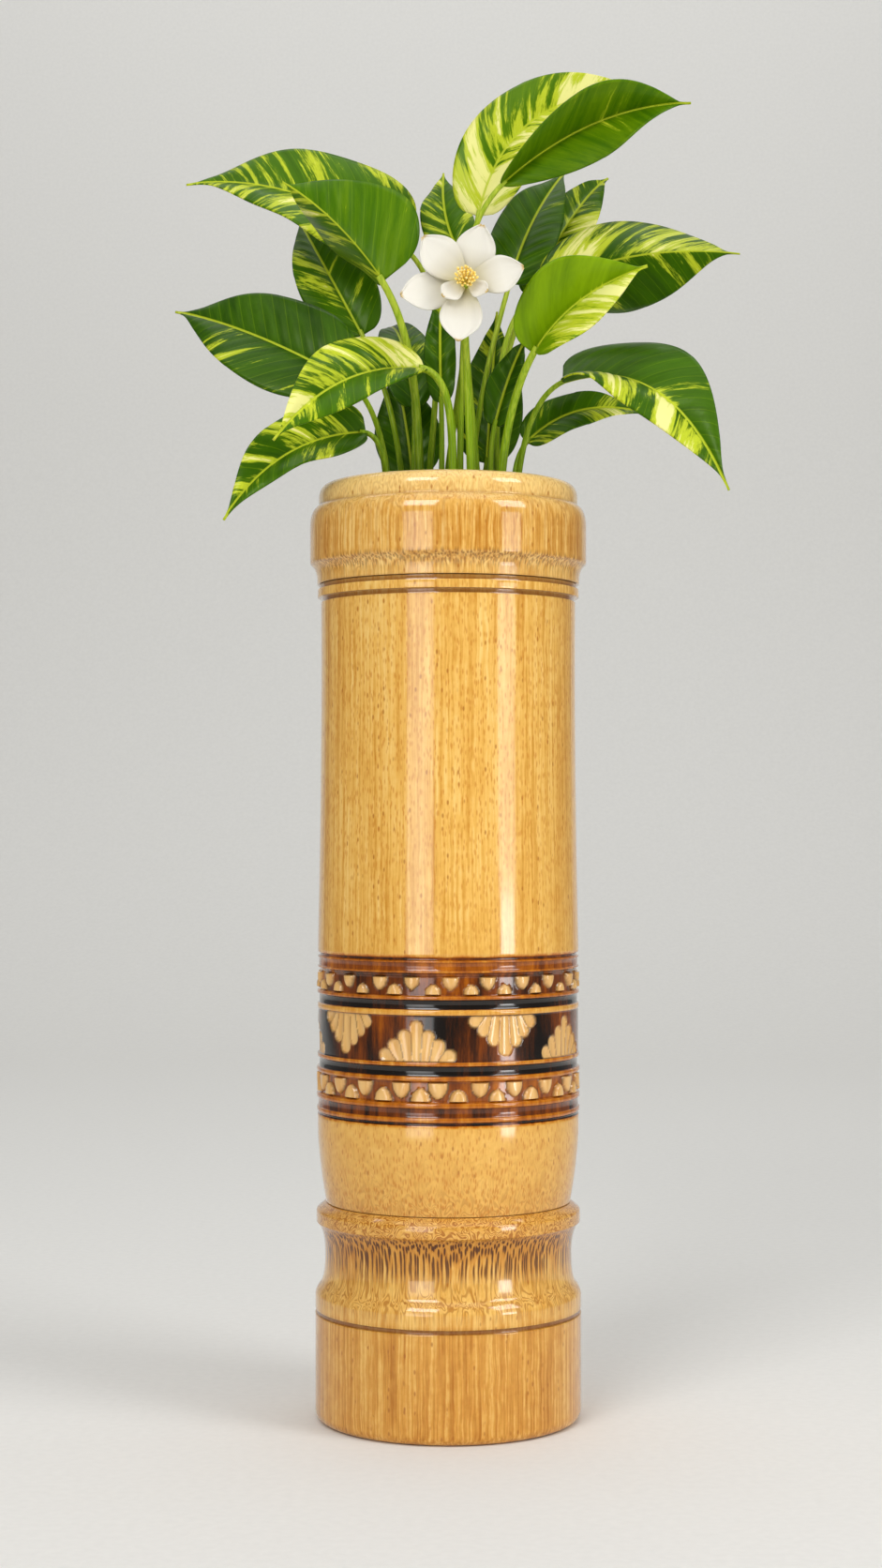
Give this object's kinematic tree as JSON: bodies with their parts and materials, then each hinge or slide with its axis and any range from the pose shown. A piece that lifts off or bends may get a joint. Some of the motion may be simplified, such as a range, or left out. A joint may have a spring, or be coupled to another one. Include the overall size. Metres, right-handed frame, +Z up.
{
  "type": "bamboo flower pot",
  "caption": "Tall turned bamboo flower pot with a carved, scorched band, a node foot and a rim collar, holding a variegated plant with a white flower in a lift-out liner.",
  "frame": {"origin": "middle of the ring face that the foot stands on, on the pot's axis", "axes": "+Z up along the pot's axis, +X to the viewer's right, -Y towards the viewer of the picture"},
  "size_m": [0.244, 0.131, 0.5813],
  "materials": {
    "bamboo": "clear gloss lacquer over turned bamboo",
    "liner_plastic": "matte moulded",
    "potting_mix": "loose and rough",
    "leaf": "waxy, green with cream streaks",
    "stalk": "smooth, yellow-green",
    "petal": "velvety white",
    "stamen": "matte yellow"
  },
  "bodies": {
    "pot": {"foot_base": "bamboo", "culm_tube": "bamboo", "collar_ring": "bamboo"},
    "planting": {"liner": "liner_plastic", "potting_mix": "potting_mix", "leaf_top_front_blade": "leaf", "leaf_top_front_stalk": "stalk", "leaf_top_back_blade": "leaf", "leaf_top_back_stalk": "stalk", "leaf_back_mid_blade": "leaf", "leaf_back_mid_stalk": "stalk", "leaf_back_right_blade": "leaf", "leaf_back_right_stalk": "stalk", "leaf_right_far_blade": "leaf", "leaf_right_far_stalk": "stalk", "leaf_right_front_blade": "leaf", "leaf_right_front_stalk": "stalk", "leaf_right_droop_blade": "leaf", "leaf_right_droop_stalk": "stalk", "leaf_right_low_blade": "leaf", "leaf_right_low_stalk": "stalk", "leaf_front_left_blade": "leaf", "leaf_front_left_stalk": "stalk", "leaf_low_left_blade": "leaf", "leaf_low_left_stalk": "stalk", "leaf_left_blade": "leaf", "leaf_left_stalk": "stalk", "leaf_left_up_long_blade": "leaf", "leaf_left_up_long_stalk": "stalk", "leaf_left_up_near_blade": "leaf", "leaf_left_up_near_stalk": "stalk", "leaf_left_back_blade": "leaf", "leaf_left_back_stalk": "stalk", "leaf_small_back_blade": "leaf", "leaf_small_back_stalk": "stalk", "leaf_inner_right_blade": "leaf", "leaf_inner_right_stalk": "stalk", "leaf_inner_left_blade": "leaf", "leaf_inner_left_stalk": "stalk", "leaf_inner_centre_blade": "leaf", "leaf_inner_centre_stalk": "stalk", "leaf_back_low_left_blade": "leaf", "leaf_back_low_left_stalk": "stalk", "leaf_back_low_right_blade": "leaf", "leaf_back_low_right_stalk": "stalk", "flower_stalk": "stalk", "flower_cup": "stalk", "petal_right": "petal", "petal_top": "petal", "petal_upper_left": "petal", "petal_lower_left": "petal", "petal_bottom": "petal", "inner_petal_left": "petal", "inner_petal_right": "petal", "stamen_tuft": "stamen"}
  },
  "joints": [
    {"name": "planting_lift", "type": "slide", "parent": "pot", "child": "planting", "axis": [0, 0, 1], "range_m": [0, 0.33]}
  ]
}
